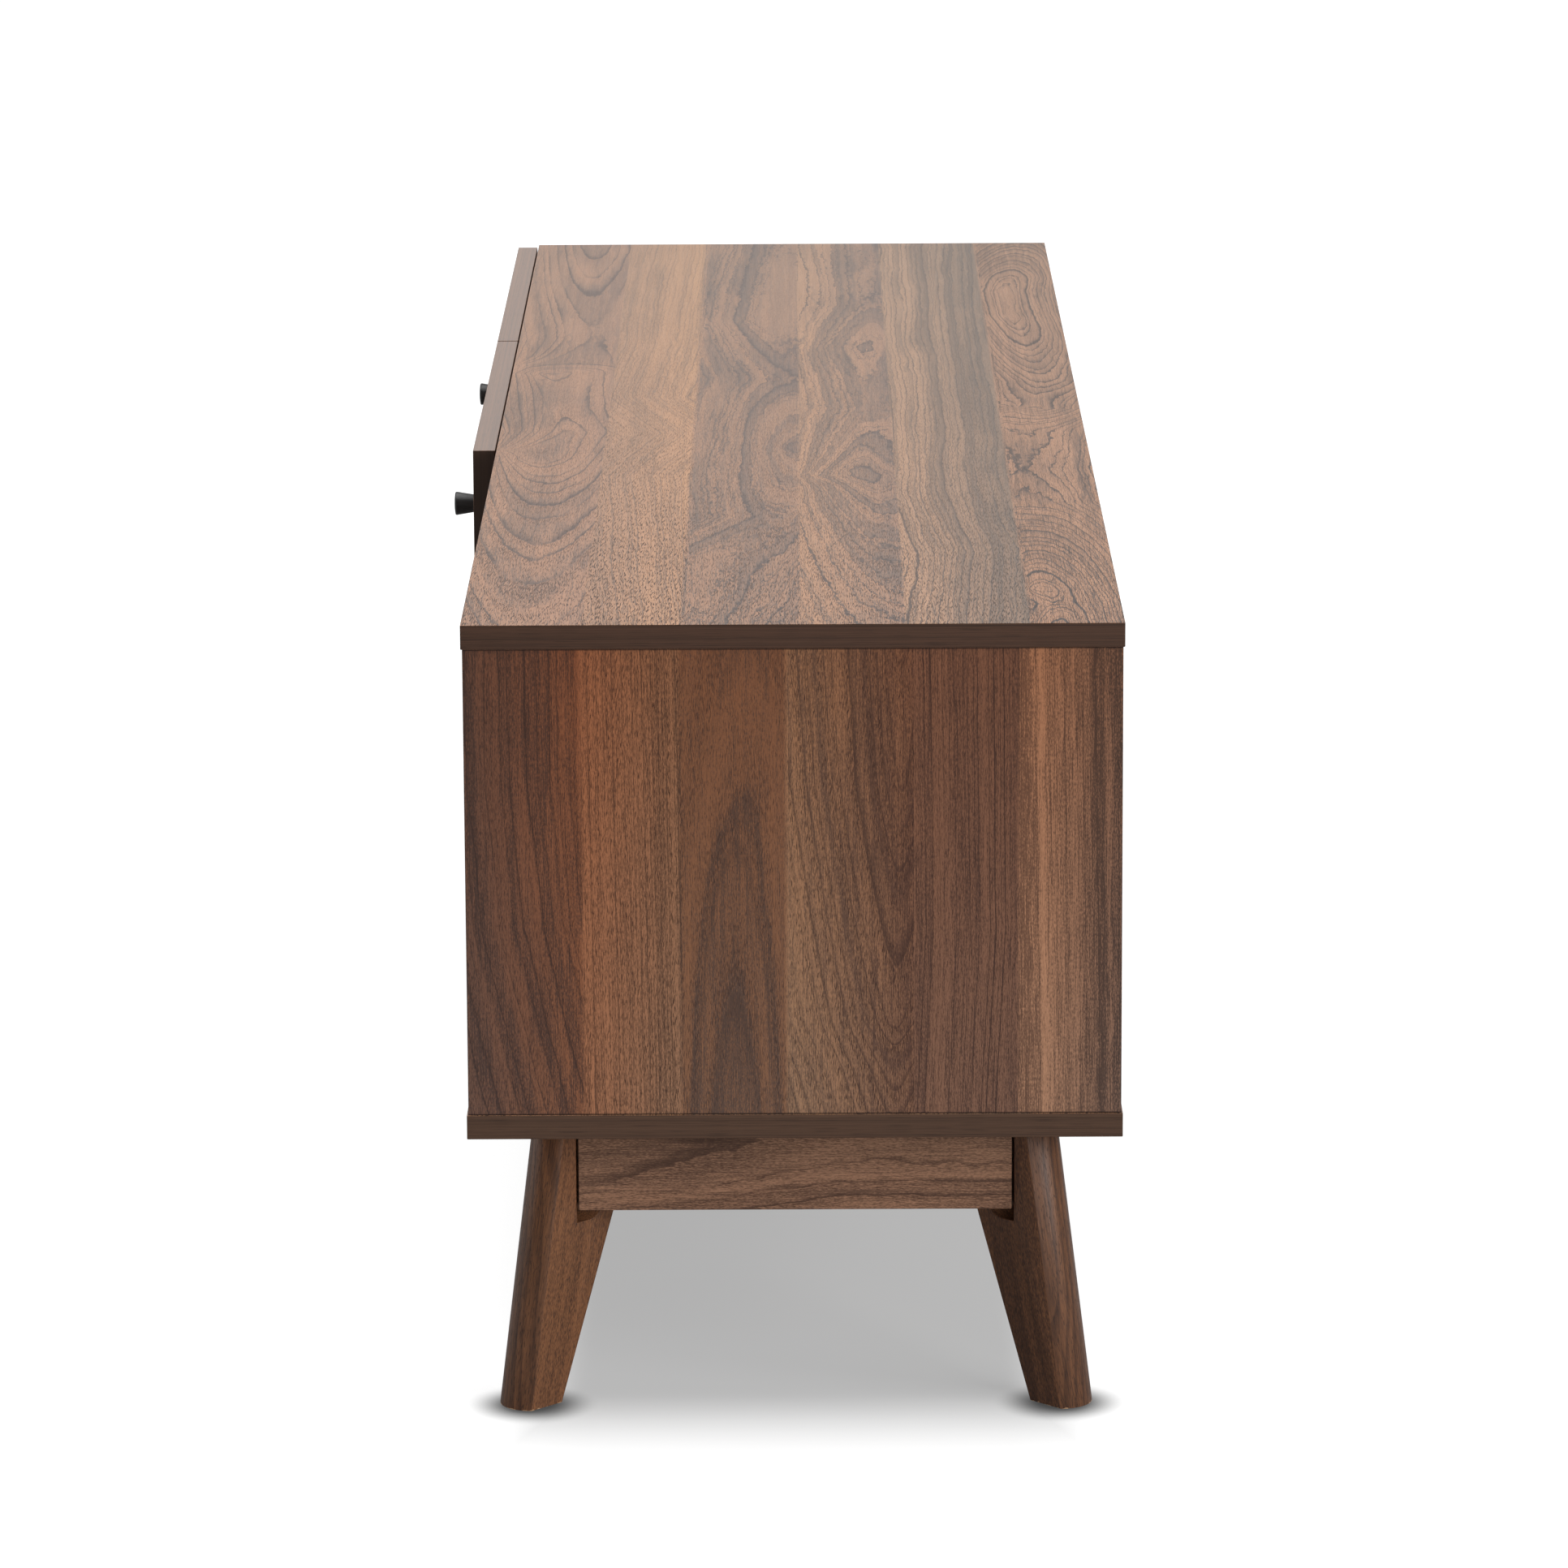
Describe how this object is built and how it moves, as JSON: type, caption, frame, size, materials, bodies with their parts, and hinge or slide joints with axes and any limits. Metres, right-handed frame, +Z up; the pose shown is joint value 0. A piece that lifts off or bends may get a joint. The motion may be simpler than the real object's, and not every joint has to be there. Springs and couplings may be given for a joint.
{
  "type": "low sideboard",
  "caption": "Low walnut-look sideboard on splayed tapered legs, with an open shelf bay beside drawers over open niches and round black knobs.",
  "frame": {"origin": "on the floor under the middle of the whole object's box, whose front is the closed knobs' outer ends and whose back is the slabs' rear edges", "axes": "+X to the right end, which is the open bay, as seen from the front; +Y to the back; +Z up"},
  "size_m": [1.5, 0.4394, 0.5],
  "materials": {
    "top_laminate": "walnut-look laminate, satin",
    "panel_laminate": "walnut-look laminate, matte",
    "front_laminate": "walnut-look laminate, matte",
    "apron_laminate": "walnut-look laminate, matte",
    "drawer_laminate": "plain brown laminate, matte",
    "leg_wood": "stained solid wood, satin lacquer",
    "hardboard": "brown printed hardboard, matte",
    "dowel_beech": "bare fluted beech",
    "knob_black": "satin black",
    "glide_plastic": "matte black",
    "zinc_steel": "bright zinc plate"
  },
  "bodies": {
    "carcass": {"top_panel": "top_laminate", "bottom_panel": "panel_laminate", "left_side_panel": "panel_laminate", "right_side_panel": "panel_laminate", "left_partition": "panel_laminate", "right_partition": "panel_laminate", "left_fixed_shelf": "panel_laminate", "middle_fixed_shelf": "panel_laminate", "bay_shelf": "panel_laminate", "left_back_panel": "hardboard", "middle_back_panel": "hardboard", "right_back_panel": "hardboard", "front_apron": "apron_laminate", "rear_apron": "apron_laminate", "left_apron": "apron_laminate", "right_apron": "apron_laminate", "front_left_leg": "leg_wood", "front_right_leg": "leg_wood", "rear_left_leg": "leg_wood", "rear_right_leg": "leg_wood", "corner_brackets": "zinc_steel", "hanger_bolts": "zinc_steel", "leg_nuts": "zinc_steel", "bracket_screws": "zinc_steel", "cam_locks": "zinc_steel", "cam_bolts": "zinc_steel", "runner_screws": "zinc_steel", "shelf_pins": "zinc_steel", "dowels": "dowel_beech", "foot_glides": "glide_plastic", "left_case_rail_l": "zinc_steel", "left_case_rail_r": "zinc_steel", "middle_case_rail_l": "zinc_steel", "middle_case_rail_r": "zinc_steel"},
    "left_drawer": {"left_drawer_front": "front_laminate", "left_drawer_left_side": "drawer_laminate", "left_drawer_right_side": "drawer_laminate", "left_drawer_back": "drawer_laminate", "left_drawer_bottom": "hardboard", "left_knob": "knob_black", "left_knob_screw": "zinc_steel", "left_drawer_cams": "zinc_steel", "left_drawer_screws": "zinc_steel", "left_drawer_rail_l": "zinc_steel", "left_drawer_rail_r": "zinc_steel"},
    "left_runner_mid": {"left_mid_rail_l": "zinc_steel", "left_mid_rail_r": "zinc_steel"},
    "middle_drawer": {"middle_drawer_front": "front_laminate", "middle_drawer_left_side": "drawer_laminate", "middle_drawer_right_side": "drawer_laminate", "middle_drawer_back": "drawer_laminate", "middle_drawer_bottom": "hardboard", "middle_knob": "knob_black", "middle_knob_screw": "zinc_steel", "middle_drawer_cams": "zinc_steel", "middle_drawer_screws": "zinc_steel", "middle_drawer_rail_l": "zinc_steel", "middle_drawer_rail_r": "zinc_steel"},
    "middle_runner_mid": {"middle_mid_rail_l": "zinc_steel", "middle_mid_rail_r": "zinc_steel"}
  },
  "joints": [
    {"name": "left_drawer_slide", "type": "slide", "parent": "carcass", "child": "left_drawer", "axis": [0, -1, 0], "range_m": [0, 0.33]},
    {"name": "left_runner_slide", "type": "slide", "parent": "carcass", "child": "left_runner_mid", "axis": [0, -1, 0], "range_m": [0, 0.165]},
    {"name": "middle_drawer_slide", "type": "slide", "parent": "carcass", "child": "middle_drawer", "axis": [0, -1, 0], "range_m": [0, 0.33]},
    {"name": "middle_runner_slide", "type": "slide", "parent": "carcass", "child": "middle_runner_mid", "axis": [0, -1, 0], "range_m": [0, 0.165]}
  ],
  "couplings": [
    {"joint": "left_runner_slide", "follows": "left_drawer_slide", "ratio": 0.5},
    {"joint": "middle_runner_slide", "follows": "middle_drawer_slide", "ratio": 0.5}
  ]
}
